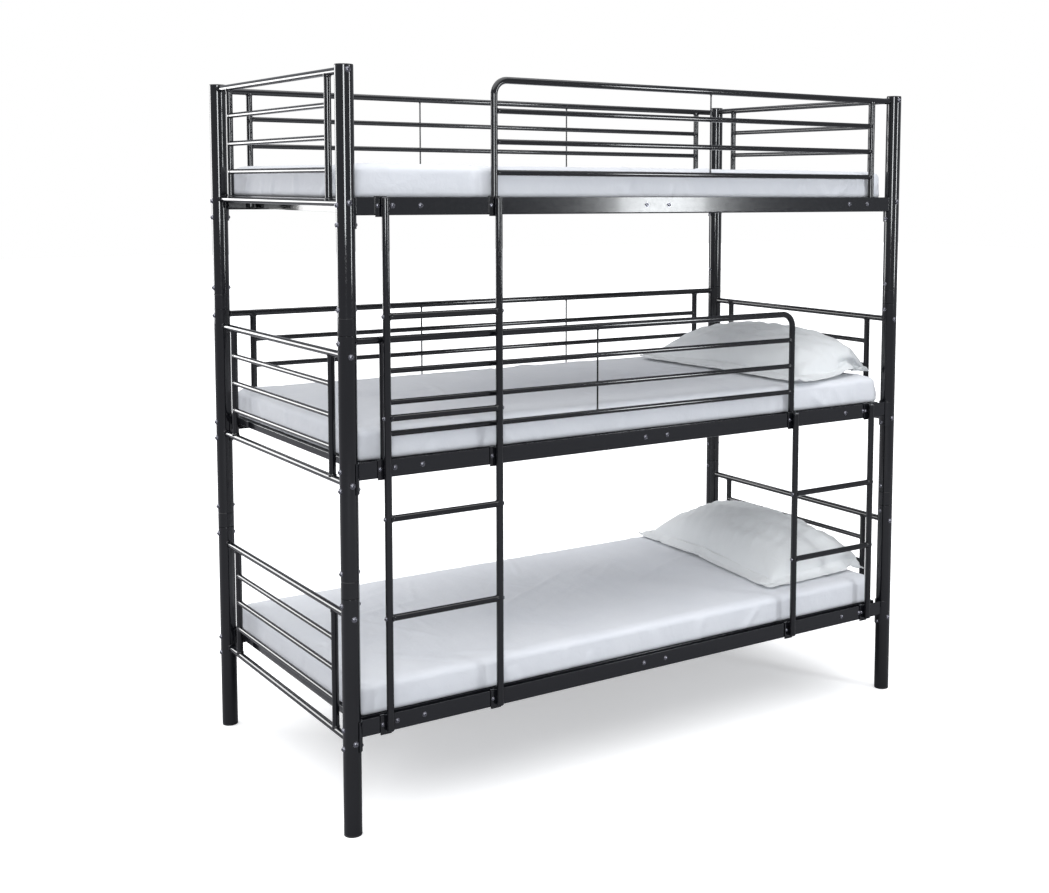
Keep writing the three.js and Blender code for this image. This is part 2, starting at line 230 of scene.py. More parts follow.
def add(tree, kind, settings=None, **inputs):
    """Adds a node. settings are its own properties; inputs are numbers, colours or sockets."""
    made = tree.nodes.new("ShaderNode" + kind)
    for key, value in (settings or {}).items():
        setattr(made, key, value)
    for key, value in inputs.items():
        socket = made.inputs[int(key[1:]) if key[0] == "i" and key[1:].isdigit() else key.replace("_", " ")]
        if isinstance(value, bpy.types.NodeSocket):
            tree.links.new(value, socket)
        else:
            socket.default_value = value
    return made


def surface(name):
    """A new material's tree, shader and object coordinates, the last in metres."""
    material = bpy.data.materials.new(name)
    material.use_nodes = True
    tree = material.node_tree
    shader = tree.nodes["Principled BSDF"]
    return material, tree, shader, add(tree, "TexCoord").outputs["Object"]


def per_metre(size_mm):
    """A noise texture's scale that gives features about size_mm across."""
    return 1000 / size_mm


print("2 mm orange peel needs a noise scale of", per_metre(2))

# %% Gloss black enamel
# Gives the eye: near-black depth under a clear coat, waviness in the highlights, and a slightly
# duller haze where hands and bedding have rubbed it.
def gloss_enamel(name, code, roughness, coat):
    material, tree, shader, place = surface(name)
    peel = add(tree, "TexNoise", Vector=place, Scale=per_metre(2.2), Detail=2.0)
    wander = add(tree, "TexNoise", Vector=place, Scale=per_metre(120), Detail=3.0)
    rubbed = add(tree, "TexNoise", Vector=place, Scale=per_metre(14), Detail=5.0, Roughness=0.65)
    haze = add(tree, "MapRange", Value=rubbed.outputs["Fac"], i1=0.35, i2=0.75,
               i3=roughness, i4=roughness + 0.07)
    depth = add(tree, "MixRGB", Fac=wander.outputs["Fac"], Color1=linear(code), Color2=linear("131418"))
    bump = add(tree, "Bump", Height=peel.outputs["Fac"], Strength=0.025, Distance=0.0004)
    tree.links.new(depth.outputs[0], shader.inputs["Base Color"])
    tree.links.new(haze.outputs[0], shader.inputs["Roughness"])
    tree.links.new(bump.outputs[0], shader.inputs["Normal"])
    shader.inputs["Coat Weight"].default_value = coat
    shader.inputs["Coat Roughness"].default_value = 0.05
    return material


ENAMEL = gloss_enamel("stoved_gloss_black_enamel_on_steel", "0a0b0e", 0.07, 0.25)
RAIL_ENAMEL = gloss_enamel("stoved_black_enamel_on_folded_steel", "111317", 0.13, 0.25)
print("enamel ready")

# %% Moulded black polypropylene, for feet and plugs
# Gives the eye: a duller black than the paint, with the fine grain of a spark-eroded mould.
PLASTIC, tree, shader, place = surface("moulded_black_polypropylene")
grain = add(tree, "TexNoise", Vector=place, Scale=per_metre(1.2), Detail=3.0)
bump = add(tree, "Bump", Height=grain.outputs["Fac"], Strength=0.2, Distance=0.0003)
shade = add(tree, "MixRGB", Fac=grain.outputs["Fac"], Color1=linear("121214"), Color2=linear("1e1e20"))
tree.links.new(shade.outputs[0], shader.inputs["Base Color"])
tree.links.new(bump.outputs[0], shader.inputs["Normal"])
shader.inputs["Roughness"].default_value = 0.48

# %% Black-coated steel bolts
# Gives the eye: small grey glints on the black tube, duller in patches where the oxide is thick.
BOLT, tree, shader, place = surface("black_oxide_steel")
wear = add(tree, "TexNoise", Vector=place, Scale=per_metre(2.5), Detail=4.0)
tone = add(tree, "MixRGB", Fac=wear.outputs["Fac"], Color1=linear("5c5c62"), Color2=linear("a0a0a8"))
dull = add(tree, "MapRange", Value=wear.outputs["Fac"], i1=0.3, i2=0.7, i3=0.16, i4=0.3)
tree.links.new(tone.outputs[0], shader.inputs["Base Color"])
tree.links.new(dull.outputs[0], shader.inputs["Roughness"])
shader.inputs["Metallic"].default_value = 1.0

# %% White cotton
# Gives the eye: a soft matt white with fuzz at its edges and a fine weave. The real threads are
# 0.25 mm apart, too fine to see, so they are drawn 1.2 mm apart.
def cotton(name, light, dark, thread_mm, crease):
    material, tree, shader, place = surface(name)
    bands = [add(tree, "TexWave", {"wave_type": "BANDS", "bands_direction": way}, Vector=place,
                 Scale=per_metre(thread_mm) / (2 * math.pi), Distortion=1.5, Detail=2.0)
             for way in ("X", "Y")]
    weave = add(tree, "MixRGB", {"blend_type": "ADD"}, Fac=1.0,
                Color1=bands[0].outputs["Color"], Color2=bands[1].outputs["Color"])
    rumple = add(tree, "TexNoise", Vector=place, Scale=per_metre(28), Detail=4.0, Distortion=0.6)
    tint = add(tree, "TexNoise", Vector=place, Scale=per_metre(160), Detail=2.0)
    colour = add(tree, "MixRGB", Fac=tint.outputs["Fac"], Color1=linear(light), Color2=linear(dark))
    fine = add(tree, "Bump", Height=weave.outputs[0], Strength=0.12, Distance=0.0003)
    soft = add(tree, "Bump", Height=rumple.outputs["Fac"], Normal=fine.outputs[0],
               Strength=crease, Distance=0.003)
    tree.links.new(colour.outputs[0], shader.inputs["Base Color"])
    tree.links.new(soft.outputs[0], shader.inputs["Normal"])
    shader.inputs["Roughness"].default_value = 0.85
    shader.inputs["Sheen Weight"].default_value = 0.25
    shader.inputs["Sheen Roughness"].default_value = 0.5
    return material


SHEET_COTTON = cotton("woven_white_cotton_sheet", "e2e4e8", "d7dae0", 1.2, 0.6)
PILLOW_COTTON = cotton("woven_white_cotton_pillowcase", "e2e4e5", "d9dcdd", 1.2, 0.5)
TICKING = cotton("quilted_mattress_ticking", "e9e9ea", "dddde0", 3.0, 0.3)
print("materials:", [m.name for m in bpy.data.materials])

# %% [markdown]
# ## Posts
#
# Each corner post is three lengths of 48 mm tube standing on each other. Between two lengths sits
# a ring with a spigot that goes into both, held by bolts above and below. A tube is a wall: its
# profile, spun round the post's axis, closes on itself, with a small round on each cut edge.

# %% Post tubes, rings and feet
CORNERS = ("front_left", "front_right", "back_left", "back_right")
TIERS = ("bottom", "middle", "top")
POST_WALL = 1.5 * MM
CUT_EDGE = 0.8 * MM
PLUG_DEPTH = 18 * MM
SPIGOT_REACH = 60 * MM


def wall(outer, low, high, thickness):
    """A tube wall's profile: down the inside, up the outside, with the cut edges eased."""
    inner = outer - thickness
    return [(inner, low), (outer - CUT_EDGE, low), (outer - 0.25 * CUT_EDGE, low + 0.3 * CUT_EDGE),
            (outer, low + CUT_EDGE), (outer, high - CUT_EDGE),
            (outer - 0.25 * CUT_EDGE, high - 0.3 * CUT_EDGE), (outer - CUT_EDGE, high), (inner, high)]


for corner in CORNERS:
    for tier in TIERS:
        node = f"post_{corner}_{tier}"
        low, high = corners(node)
        centre = [*((low + high) / 2)[:2], 0]
        radius = (high[0] - low[0]) / 2
        skins = [spun(wall(radius, low[2], high[2], POST_WALL), centre, sides=64, looped=True)]
        make(node + "_tube", skins, ENAMEL, "frame", [node])
    # The plug that closes the highest tube.
    rim = radius - 0.6 * MM
    plug = [(rim - POST_WALL, high[2] - PLUG_DEPTH), (rim - POST_WALL, high[2] - 0.5 * MM),
            (rim, high[2] - 0.4 * MM), (rim, high[2] + 1.4 * MM), (rim - 0.8 * MM, high[2] + 2.2 * MM),
            (rim * 0.6, high[2] + 2.9 * MM), (rim * 0.2, high[2] + 3.1 * MM)]
    make(f"post_{corner}_plug", [spun(plug, centre, sides=48)], PLASTIC, "frame")
    for joint in ("lower", "upper"):
        node = f"collar_{corner}_{joint}"
        low, high = corners(node)
        bottom, top = low[2] + SPIGOT_REACH, high[2] - SPIGOT_REACH
        spigot = radius - POST_WALL - 0.4 * MM
        ring = [(spigot - POST_WALL, low[2]), (spigot, low[2]), (spigot, bottom + 0.3 * MM),
                (radius - CUT_EDGE, bottom + 0.3 * MM), (radius, bottom + 1.2 * MM),
                (radius, top - 1.2 * MM), (radius - CUT_EDGE, top - 0.3 * MM),
                (spigot, top - 0.3 * MM), (spigot, high[2]), (spigot - POST_WALL, high[2])]
        make(node + "_ring", [spun(ring, centre, sides=64, looped=True)], ENAMEL,
             "frame", [node])
    node = f"foot_{corner}"
    low, high = corners(node)
    sole = [(radius - 2 * MM, low[2]), (radius - 0.4 * MM, low[2] + 0.6 * MM), (radius, low[2] + 1.5 * MM),
            (radius, low[2] + 4.4 * MM), (radius - 0.6 * MM, low[2] + 5 * MM),
            (radius - 2 * MM, low[2] + 5 * MM), (radius - 2.2 * MM, high[2])]
    make(node + "_cap", [spun(sole, centre, sides=48)], PLASTIC, "frame", [node])
print("posts stand at", [[round(float(v), 3) for v in corners(f"foot_{c}")[0][:2]] for c in CORNERS])

# %% [markdown]
# ## Round bars and their welds
#
# End frames, guard rails and ladders are thin tube, welded where one meets another. A weld leaves
# a small bead round the end of the bar, so each bar swells by about a millimetre and a half as it
# reaches the other tube. The swelling dies away as exp(-distance / bead).

# %% A welded bar
BEAD = 1.5 * MM


def bar(start, end, radius, hosts=(0, 0), sides=24):
    """A round bar between two points. hosts are the radii of the tubes that its ends sink
    into, or 0 for a free end, which is rounded off."""
    start, end = np.asarray(start, float), np.asarray(end, float)
    length = np.linalg.norm(end - start)
    near = np.array([0, 0.5, 1, 1.8, 3, 5, 9]) * MM
    stations, sizes = [], []
    for host in hosts:
        if host:
            stations.append(np.concatenate([[host * 0.4], host + near]))
            swell = 1 + BEAD * np.exp(-near / BEAD) / radius
            sizes.append(np.concatenate([[swell[0]], swell]))
        else:
            bend = np.linspace(0, np.pi / 2, 6)
            stations.append(radius * 0.35 * (1 - np.cos(bend)))
            sizes.append(np.concatenate([[0.55], 0.55 + 0.45 * np.sin(bend[1:])]))
    at = np.concatenate([stations[0], length - stations[1][::-1]])
    size = np.concatenate([sizes[0], sizes[1][::-1]])
    way = (end - start) / length
    side = np.array((0.0, 1.0, 0.0) if abs(way[1]) < 0.9 else (1.0, 0.0, 0.0))
    return swept(start + at[:, None] * way, circle(radius, sides), side - np.dot(side, way) * way, size)


print("a welded bar has", len(bar([0, 0, 0], [0, 0, 1], 9 * MM, (9 * MM, 9 * MM))[0]), "points")

# %% Bolt heads
BOLT_RADIUS = 6.5 * MM
BOLT_DOME = 4.2 * MM
SOCKET = 2.6 * MM


def bolt(place, axis, size=1.0):
    """A dome head with a six-sided socket. Ring radii are radius_j * (1 - s_j) + hex_j * s_j, where
    the hexagon's radius at angle a is SOCKET / cos(((a + 30) mod 60) - 30 degrees)."""
    axis, angle = np.asarray(axis, float), around(24)
    flat = SOCKET / np.cos((angle + np.pi / 6) % (np.pi / 3) - np.pi / 6)
    t = np.linspace(0, np.pi / 2 * 0.8, 6)
    radii = [BOLT_RADIUS * 1.25, BOLT_RADIUS * 1.25, BOLT_RADIUS * 1.2]
    heights = [-1.5 * MM, 0.7 * MM, 1.1 * MM]
    radii += list(BOLT_RADIUS * np.cos(t))
    heights += list(1.1 * MM + BOLT_DOME * np.sin(t) / np.sin(t[-1]))
    rings = [np.full(len(angle), radius) for radius in radii] + [flat * 1.08, flat, flat * 0.98]
    heights += [heights[-1] + 0.1 * MM, heights[-1] - 0.3 * MM, heights[-1] - 2.2 * MM]
    rings, heights = np.array(rings) * size, np.array(heights) * size
    return skin(np.asarray(place) + rings[:, :, None] * spokes(axis, angle) + heights[:, None, None] * axis)


print("a bolt head has", len(bolt([0, 0, 0], UP)[1]), "faces")

# %% [markdown]
# ## Side rails
#
# A side rail is 2 mm sheet folded to an angle: an upright face 47 mm high and a ledge that turns
# in under the mattress base. A curved saddle plate at each end hugs the post and takes two bolts.
# The fold's outside radius is about twice the sheet's thickness, as a press brake leaves it.

# %% Fold the rails
SHEET_STEEL = 2 * MM
RAIL_OUTBOARD = 12 * MM
RAIL_HEIGHT = 47 * MM
LEDGE = 32 * MM
FOLD = 4 * MM
SADDLE = 3 * MM
SADDLE_HALF_ANGLE = math.radians(68)
POST_GAP = 0.3 * MM


def folded(width, height):
    """An angle's outline: u runs inwards from the face and v up from the ledge's underside. The
    outer and inner arcs of the fold share a centre, (FOLD, FOLD)."""
    turn = np.linspace(np.pi, 1.5 * np.pi, 7)
    outer = FOLD + FOLD * np.stack([np.cos(turn), np.sin(turn)], axis=1)
    inner = FOLD + (FOLD - SHEET_STEEL) * np.stack([np.cos(turn[::-1]), np.sin(turn[::-1])], axis=1)
    ledge = [[width, 0], [width, SHEET_STEEL]]
    return np.vstack([[[0, height]], outer, ledge, inner, [[SHEET_STEEL, height]]])


def saddle(x, y, inwards, low, high):
    """A curved plate round a post's inner half: ring k is an upright oblong from the post's
    radius to the plate's outer radius, turned to the angle a_k about the post."""
    inner = post_radius + POST_GAP
    angle = np.linspace(-SADDLE_HALF_ANGLE, SADDLE_HALF_ANGLE, 21) + (0 if inwards > 0 else np.pi)
    spoke = np.stack([np.cos(angle), np.sin(angle)], axis=1)
    reach = np.array([inner, inner + SADDLE, inner + SADDLE, inner])
    height = np.array([low, low, high, high])
    flat = np.array([x, y]) + reach[None, :, None] * spoke[:, None, :]
    height = np.broadcast_to(height[None, :, None], (len(angle), 4, 1))
    return skin(np.concatenate([flat, height], axis=2))


low, high = corners("post_front_left_bottom")
post_radius = (high[0] - low[0]) / 2
FRONT_LEFT = (low + high) / 2
low, high = corners("post_back_right_bottom")
BACK_RIGHT = (low + high) / 2
POST_X = {"left": FRONT_LEFT[0], "right": BACK_RIGHT[0]}
POST_Y = {"front": FRONT_LEFT[1], "back": BACK_RIGHT[1]}
OUT_Y = {"front": -1, "back": 1}
OUT_X = {"left": -1, "right": 1}
RAIL_TOPS = []

for place in ("front", "back"):
    for tier in TIERS:
        node = f"side_rail_{place}_{tier}"
        low, high = corners(node)
        out = OUT_Y[place]
        face = POST_Y[place] + out * RAIL_OUTBOARD
        reach = POST_X["right"] - math.sqrt((post_radius + POST_GAP + SADDLE) ** 2 - RAIL_OUTBOARD ** 2) + MM
        outline = folded(LEDGE, RAIL_HEIGHT)
        start = out * reach
        path = [[start, face, high[2] - RAIL_HEIGHT], [-start, face, high[2] - RAIL_HEIGHT]]
        skins = [swept(path, outline, (0, -out, 0))]
        for end in ("left", "right"):
            skins.append(saddle(POST_X[end], POST_Y[place], -OUT_X[end], low[2], high[2]))
        make(node + "_folded", skins, RAIL_ENAMEL, "frame", [node], edge=0.45 * MM)
        if place == "front":
            RAIL_TOPS.append(high[2])
print("rail tops in millimetres:", [round(float(top) / MM) for top in RAIL_TOPS])

# %% [markdown]
# ## End frames
#
# At each end of each tier two long tubes run from post to post. Two uprights stand a hand's
# breadth in from the posts, and three thinner bars run between them.

# %% Weld the end frames
END_TUBE = 9.5 * MM
END_BAR = 7.5 * MM
END_INSET = 104 * MM
END_BARS = 3
INTO_POST = 3 * MM     # a tube starts this far inside the post, and its bead just outside
POST_HOSTS = (3.1 * MM, 3.1 * MM)

for end in ("left", "right"):
    for tier in TIERS:
        node = f"end_frame_{end}_{tier}"
        low, high = corners(node)
        x = (low[0] + high[0]) / 2
        bottom, top = low[2] + END_TUBE, high[2] - END_TUBE
        uprights = [POST_Y["front"] + END_INSET, POST_Y["back"] - END_INSET]
        reach = (POST_Y["front"] + post_radius * 0.995, POST_Y["back"] - post_radius * 0.995)
        skins = [bar([x, reach[0] - INTO_POST, z], [x, reach[1] + INTO_POST, z], END_TUBE, POST_HOSTS)
                 for z in (bottom, top)]
        skins += [bar([x, y, bottom], [x, y, top], END_TUBE, (END_TUBE, END_TUBE)) for y in uprights]
        for k in range(1, END_BARS + 1):
            z = bottom + (top - bottom) * k / (END_BARS + 1)
            skins.append(bar([x, uprights[0], z], [x, uprights[1], z], END_BAR, (END_TUBE, END_TUBE)))
        make(node + "_welded", skins, ENAMEL, "frame", [node])
print("end frames welded")

# %% [markdown]
# ## Guard rails
#
# The front guards are bent from one tube: up beside the entry, round a 40 mm bend and level to
# the post. Three bars and thin spacer wires fill them. The back guards run straight from post
# to post. The bend is a quarter circle of 12 steps, so that its highlight stays smooth.

# %% Bend and weld the guards
GUARD_TUBE = 9.5 * MM
GUARD_BAR = 7.5 * MM
WIRE = 2.5 * MM
GUARD_PITCH = 83 * MM
GUARD_BEND = 40 * MM
FAR_UPRIGHT = 876 * MM
NEAR_UPRIGHT = 542 * MM
WIRE_STEP = 745 * MM
BACK_WIRE = 290 * MM


def hoop(foot, corner, end):
    """A path up from foot, round a quarter circle at corner and on level to end."""
    foot, corner, end = (np.asarray(point, float) for point in (foot, corner, end))
    way = np.sign(end[0] - corner[0]) * np.array([1.0, 0, 0])
    angle = np.linspace(0, np.pi / 2, 13)[:, None]
    centre = corner + GUARD_BEND * (way - [0, 0, 1])
    bend = centre - GUARD_BEND * np.cos(angle) * way + GUARD_BEND * np.sin(angle) * [0, 0, 1]
    return np.vstack([[foot], bend, [end]])


def filling(y, top, start, end, wires):
    """Three bars between two uprights, and wires from the top tube to the lowest bar."""
    skins = []
    for k in (1, 2, 3):
        z = top - GUARD_PITCH * k
        skins.append(bar([start, y, z], [end, y, z], GUARD_BAR, (GUARD_TUBE, GUARD_TUBE)))
    lowest = top - 3 * GUARD_PITCH
    for x in wires:
        skins.append(bar([x, y, lowest], [x, y, top], WIRE, (GUARD_BAR, GUARD_TUBE), sides=12))
    return skins


def upright(x, y, foot, top):
    return bar([x, y, foot], [x, y, top], GUARD_TUBE, (0, GUARD_TUBE))


for tier, end in (("middle", -1), ("top", 1)):
    node = f"guard_rail_front_{tier}"
    low, high = corners(node)
    y, top = (low[1] + high[1]) / 2, high[2] - GUARD_TUBE
    entry, far = -end * NEAR_UPRIGHT, end * FAR_UPRIGHT
    post = end * (POST_X["right"] - post_radius)
    tube = hoop([entry, y, low[2]], [entry, y, top], [post, y, top])
    skins = [swept(tube, circle(GUARD_TUBE), (0, 1, 0)), upright(far, y, low[2], top)]
    skins += filling(y, top, entry, far, [entry + end * WIRE_STEP])
    make(node + "_welded", skins, ENAMEL, "frame", [node])

    node = f"guard_rail_back_{tier}"
    low, high = corners(node)
    y = (low[1] + high[1]) / 2
    ends = [POST_X["left"] + post_radius, POST_X["right"] - post_radius]
    skins = [bar([ends[0] - INTO_POST, y, top], [ends[1] + INTO_POST, y, top], GUARD_TUBE, POST_HOSTS)]
    skins += [upright(x, y, low[2], top) for x in (-FAR_UPRIGHT, FAR_UPRIGHT)]
    skins += filling(y, top, -FAR_UPRIGHT, FAR_UPRIGHT, [-BACK_WIRE, BACK_WIRE])
    make(node + "_welded", skins, ENAMEL, "frame", [node])
print("guards welded")

# %% [markdown]
# ## Mattress bases
#
# A base is a frame of 20 mm square tube with cross bars, lying on three folded bearers that rest
# on the rails' ledges. Square tube has soft corners, about 2 mm in radius.

# %% Square tube and bearers
BASE_BAR = 20 * MM
BASE_HALF_WIDTH = 450 * MM
CROSS_BARS = 9
BEARERS = (-810 * MM, 0, 810 * MM)
BEARER_WIDTH = 100 * MM


def rounded_square(width, radius):
    """Four quarter circles of that radius, one at each corner of a square."""
    angle = np.linspace(0, np.pi / 2, 5)
    arc = radius * np.stack([np.cos(angle), np.sin(angle)], axis=1)
    turns = [np.array([[c, s], [-s, c]]) for c, s in ((1, 0), (0, 1), (-1, 0), (0, -1))]
    inset = width / 2 - radius
    return np.vstack([(arc + inset) @ turn for turn in turns])


def channel(width, height):
    """A folded channel's outline, open below: a flat top and two legs of sheet steel."""
    t, half = SHEET_STEEL, width / 2
    return np.array([[-half, 0], [-half, height], [half, height], [half, 0], [half - t, 0],
                     [half - t, height - t], [-half + t, height - t], [-half + t, 0]])


for tier in TIERS:
    node = f"mattress_base_{tier}"
    low, high = corners(node)
    middle_y = (low[1] + high[1]) / 2
    half_x, half_y = (high[0] - low[0]) / 2, BASE_HALF_WIDTH
    z = high[2] - BASE_BAR / 2
    tube = rounded_square(BASE_BAR, 2 * MM)
    skins = []
    for side in (-1, 1):
        y = middle_y + side * (half_y - BASE_BAR / 2)
        skins.append(swept([[-half_x, y, z], [half_x, y, z]], tube, (0, 1, 0)))
    for k in range(CROSS_BARS + 2):
        x = -half_x + BASE_BAR / 2 + (2 * half_x - BASE_BAR) * k / (CROSS_BARS + 1)
        inner = half_y - BASE_BAR + MM
        skins.append(swept([[x, middle_y - inner, z], [x, middle_y + inner, z]], tube, (1, 0, 0)))
    for x in BEARERS:
        outline = channel(BEARER_WIDTH, high[2] - BASE_BAR - low[2])
        path = [[x, low[1] + MM, low[2]], [x, high[1] - MM, low[2]]]
        skins.append(swept(path, outline, (-1, 0, 0)))
    make(node + "_tubes", skins, RAIL_ENAMEL, "frame", [node], edge=0.4 * MM)
print("bases made")

# %% [markdown]
# ## Ladders
#
# Each ladder hooks over the side rails: a flat plate beside the stile lies on the rail's face,
# folds over its top edge and comes down behind it. The rungs are held by a bolt through each end.

# %% Stiles, hooks and rungs
STILE = 10 * MM
RUNG = 9 * MM
HOOK_STEEL = 3 * MM
HOOK_REACH = 24 * MM
HOOK_OVERLAP = 8 * MM
HOOK_NECK = 11.5 * MM
HOOK_LEG = 20 * MM
HOOK_SKIRT = 4 * MM
HOOK_SOFT = 2.5 * MM
STILE_FOOT = 5 * MM


def slab(low, high):
    """A plate between two corners, as a square section carried from its low to its high z."""
    (x0, y0, z0), (x1, y1, z1) = low, high
    flat = np.array([[x0, y0], [x1, y0], [x1, y1], [x0, y1]])
    return skin(np.array([[[x, y, z] for x, y in flat] for z in (z0, z1)]))


def hook(x, rail_top):
    """The plate, its fold over the rail and the leg behind, as one outline carried along X for
    the folded part and a flat plate for the rest."""
    face = POST_Y["front"] - RAIL_OUTBOARD
    gap = POST_GAP
    outer, back = face - gap - HOOK_STEEL, face + SHEET_STEEL + gap + HOOK_STEEL
    cap = rail_top + gap + HOOK_STEEL
    bottom = rail_top - RAIL_HEIGHT - HOOK_SKIRT
    turn = np.linspace(0, np.pi / 2, 5)[:, None]
    first = [outer + HOOK_SOFT, cap - HOOK_SOFT] + HOOK_SOFT * np.hstack([-np.cos(turn), np.sin(turn)])
    second = [back - HOOK_SOFT, cap - HOOK_SOFT] + HOOK_SOFT * np.hstack([np.sin(turn), np.cos(turn)])
    outline = np.vstack([[[outer, bottom]], first, second, [[back, rail_top - HOOK_LEG]],
                         [[back - HOOK_STEEL, rail_top - HOOK_LEG]], [[back - HOOK_STEEL, rail_top + gap]],
                         [[outer + HOOK_STEEL, rail_top + gap]], [[outer + HOOK_STEEL, bottom]]])
    path = [[x - HOOK_REACH, 0, 0], [x - HOOK_NECK, 0, 0]]
    folded_part = swept(path, outline, (0, 1, 0))
    wing = slab([x - HOOK_NECK - 0.5 * MM, outer, bottom], [x + HOOK_OVERLAP, outer + HOOK_STEEL, cap - MM])
    return [folded_part, wing]


LADDERS = {"tall": (3, 4), "short": (2, 2)}
STILES = {}
for ladder, (tiers, rungs) in LADDERS.items():
    body = f"ladder_{ladder}"
    for side in ("left", "right"):
        node = f"{body}_stile_{side}"
        low, high = corners(node)
        x, y = low[0] + HOOK_REACH, low[1] + STILE
        STILES[ladder, side] = (x, y)
        top = RAIL_TOPS[tiers - 1]
        foot = RAIL_TOPS[0] - RAIL_HEIGHT + STILE_FOOT
        skins = [bar([x, y, foot], [x, y, top], STILE)]
        for rail_top in RAIL_TOPS[:tiers]:
            skins += hook(x, rail_top)
        make(node + "_tube", skins, ENAMEL, body, [node], edge=0.4 * MM)
    for rung in range(1, rungs + 1):
        node = f"{body}_rung_{rung}"
        low, high = corners(node)
        _, y, z = (low + high) / 2
        hosts = (STILE - 0.2 * MM,) * 2
        skins = [bar([low[0] - STILE, y, z], [high[0] + STILE, y, z], RUNG, hosts)]
        make(node + "_tube", skins, ENAMEL, body, [node])
print("stiles at", {key: [round(float(v), 3) for v in value] for key, value in STILES.items()})

# %% [markdown]
# ## Bolts
#
# The bed is bolted together, and its dome heads are its only small parts. The outside of each
# post carries two for each rail and two for each ring. The front and back carry one at each end
# frame tube. The rails have pairs that hold the bases, and each rung has one at each end.

# %% Set the bolts
SADDLE_BOLTS = (10 * MM, 60 * MM)
RING_BOLTS = (-43 * MM, 43 * MM)
RAIL_BOLTS = (-850, -770, -40, 40, 770, 850)
RAIL_BOLT_DROP = 22 * MM
HOOK_BOLT = 17.5 * MM
INNER_HEAD, RAIL_HEAD, LADDER_HEAD = 0.8, 0.9, 0.75     # sizes beside the posts' outer heads

skins = []
for corner in CORNERS:
    depth, end = corner.split("_")
    x, y = POST_X[end], POST_Y[depth]
    out_x, out_y = OUT_X[end], OUT_Y[depth]
    for tier in TIERS:
        low, high = corners(f"side_rail_{depth}_{tier}")
        heights = [low[2] + rise for rise in SADDLE_BOLTS]
        skins += [bolt([x + out_x * post_radius, y, z], (out_x, 0, 0)) for z in heights]
        inner = x - out_x * (post_radius + POST_GAP + SADDLE)
        skins.append(bolt([inner, y, heights[0]], (-out_x, 0, 0), INNER_HEAD))
        low, high = corners(f"end_frame_{end}_{tier}")
        for z in (low[2] + END_TUBE, high[2] - END_TUBE):
            skins.append(bolt([x, y + out_y * post_radius, z], (0, out_y, 0)))
    for joint in ("lower", "upper"):
        low, high = corners(f"collar_{corner}_{joint}")
        for rise in RING_BOLTS:
            z = (low[2] + high[2]) / 2 + rise
            skins.append(bolt([x + out_x * post_radius, y, z], (out_x, 0, 0)))
            skins.append(bolt([x - out_x * post_radius, y, z], (-out_x, 0, 0), INNER_HEAD))
for depth in ("front", "back"):
    out = OUT_Y[depth]
    for top in RAIL_TOPS:
        for x in RAIL_BOLTS:
            place = [x * MM, POST_Y[depth] + out * RAIL_OUTBOARD, top - RAIL_BOLT_DROP]
            skins.append(bolt(place, (0, out, 0), RAIL_HEAD))
make("frame_bolts", skins, BOLT, "frame", smooth=50)
print(len(skins), "bolts on the frame")

for ladder, (tiers, rungs) in LADDERS.items():
    skins = []
    for side, out in (("left", -1), ("right", 1)):
        x, y = STILES[ladder, side]
        for rung in range(1, rungs + 1):
            low, high = corners(f"ladder_{ladder}_rung_{rung}")
            skins.append(bolt([x + out * STILE, y, (low[2] + high[2]) / 2], (out, 0, 0), LADDER_HEAD))
        for top in RAIL_TOPS[:tiers]:
            face = POST_Y["front"] - RAIL_OUTBOARD - POST_GAP - HOOK_STEEL
            skins.append(bolt([x - HOOK_BOLT, face, top - RAIL_BOLT_DROP], (0, -1, 0), LADDER_HEAD))
    make(f"ladder_{ladder}_bolts", skins, BOLT, f"ladder_{ladder}", smooth=50)
    print(len(skins), "bolts on the", ladder, "ladder")

# %% [markdown]
# ## Mattresses and fitted sheets
#
# Each tier has a thin foam mattress in ticking, covered by a fitted cotton sheet that turns in
# under its edge. The shape starts as a box's lattice. Each point is pulled onto rounded edges,
# and then pushed out along its normal by the creases: a crease is a line on the cloth, and lifts
# the points near it by height * exp(-(distance / width) squared). A cloth simulation would take
# minutes for three beds, and stretched cotton hardly moves, so drawn creases serve.

# %% A lattice box with softened edges
def lattice_box(low, high, step, hem=None):
    """Points and outward quads of a box's surface, about one step apart. hem keeps only that
    much of the underside, measured in from its edges."""
    counts = [max(2, round((b - a) / step)) + 1 for a, b in zip(low, high)]
    lines = [np.linspace(a, b, n) for a, b, n in zip(low, high, counts)]
    points, quads, start = [], [], 0
    for axis in range(3):
        u, v = [k for k in range(3) if k != axis]
        for end in (0, -1):
            grid_u, grid_v = np.meshgrid(lines[u], lines[v], indexing="ij")
            face = np.empty(grid_u.shape + (3,))
            face[..., u], face[..., v], face[..., axis] = grid_u, grid_v, lines[axis][end]
            number = start + np.arange(grid_u.size).reshape(grid_u.shape)
            cell = np.stack([number[:-1, :-1], number[1:, :-1], number[1:, 1:], number[:-1, 1:]], axis=-1)
            if (axis == 1) != (end == 0):
                cell = cell[..., ::-1]
            if hem and axis == 2 and end == 0:
                mid_u = (grid_u[:-1, :-1] + grid_u[1:, 1:]) / 2
                mid_v = (grid_v[:-1, :-1] + grid_v[1:, 1:]) / 2
                inside = ((mid_u > low[0] + hem) & (mid_u < high[0] - hem)
                          & (mid_v > low[1] + hem) & (mid_v < high[1] - hem))
                cell = cell[~inside]
            points.append(face.reshape(-1, 3))
            quads.append(cell.reshape(-1, 4))
            start += grid_u.size
    points, quads = np.vstack(points), np.vstack(quads)
    _, first, same = np.unique(np.round(points, 6), axis=0, return_index=True, return_inverse=True)
    points, quads = points[first], same.reshape(-1)[quads]
    used, again = np.unique(quads, return_inverse=True)
    return points[used], again.reshape(-1, 4)


